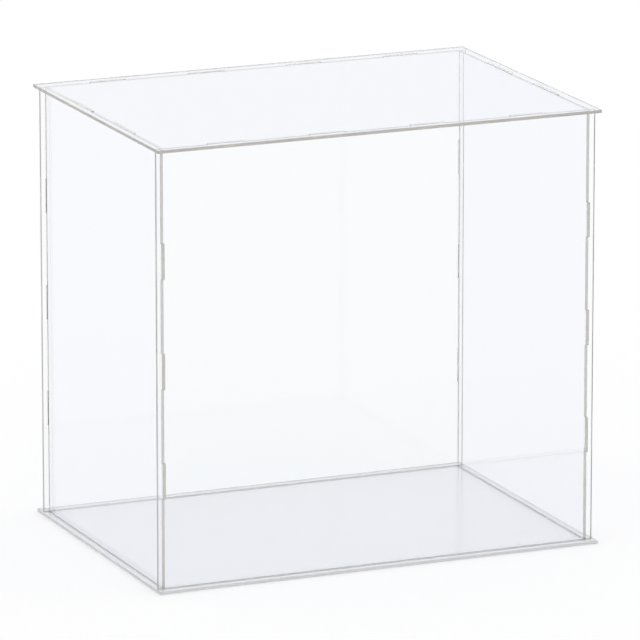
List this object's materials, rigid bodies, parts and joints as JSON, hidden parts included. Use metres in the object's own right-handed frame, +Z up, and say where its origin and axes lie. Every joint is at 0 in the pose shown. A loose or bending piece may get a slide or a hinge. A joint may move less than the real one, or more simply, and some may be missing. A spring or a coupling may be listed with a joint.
{
  "type": "display case",
  "caption": "Clear acrylic display case slotted together from flat sheets, with tabbed walls, a slotted lid that lifts off and a plain base that the cover lifts from.",
  "frame": {"origin": "on the floor under the middle of the base", "axes": "+Z up, +X along the long side of the base, the front wall towards -Y"},
  "size_m": [0.3, 0.212, 0.282],
  "materials": {
    "base_acrylic": "clear, polished faces and saw-smooth edges",
    "wall_acrylic": "clear, polished faces and cut edges",
    "lid_acrylic": "clear, polished faces and cut edges"
  },
  "bodies": {
    "base": {"base_panel": "base_acrylic"},
    "cover": {"front_panel": "wall_acrylic", "back_panel": "wall_acrylic", "left_panel": "wall_acrylic", "right_panel": "wall_acrylic"},
    "lid": {"top_panel": "lid_acrylic"}
  },
  "joints": [
    {"name": "cover_lift", "type": "slide", "parent": "base", "child": "cover", "axis": [0, 0, 1], "range_m": [0, 0.28]},
    {"name": "lid_lift", "type": "slide", "parent": "cover", "child": "lid", "axis": [0, 0, 1], "range_m": [0, 0.2]}
  ]
}
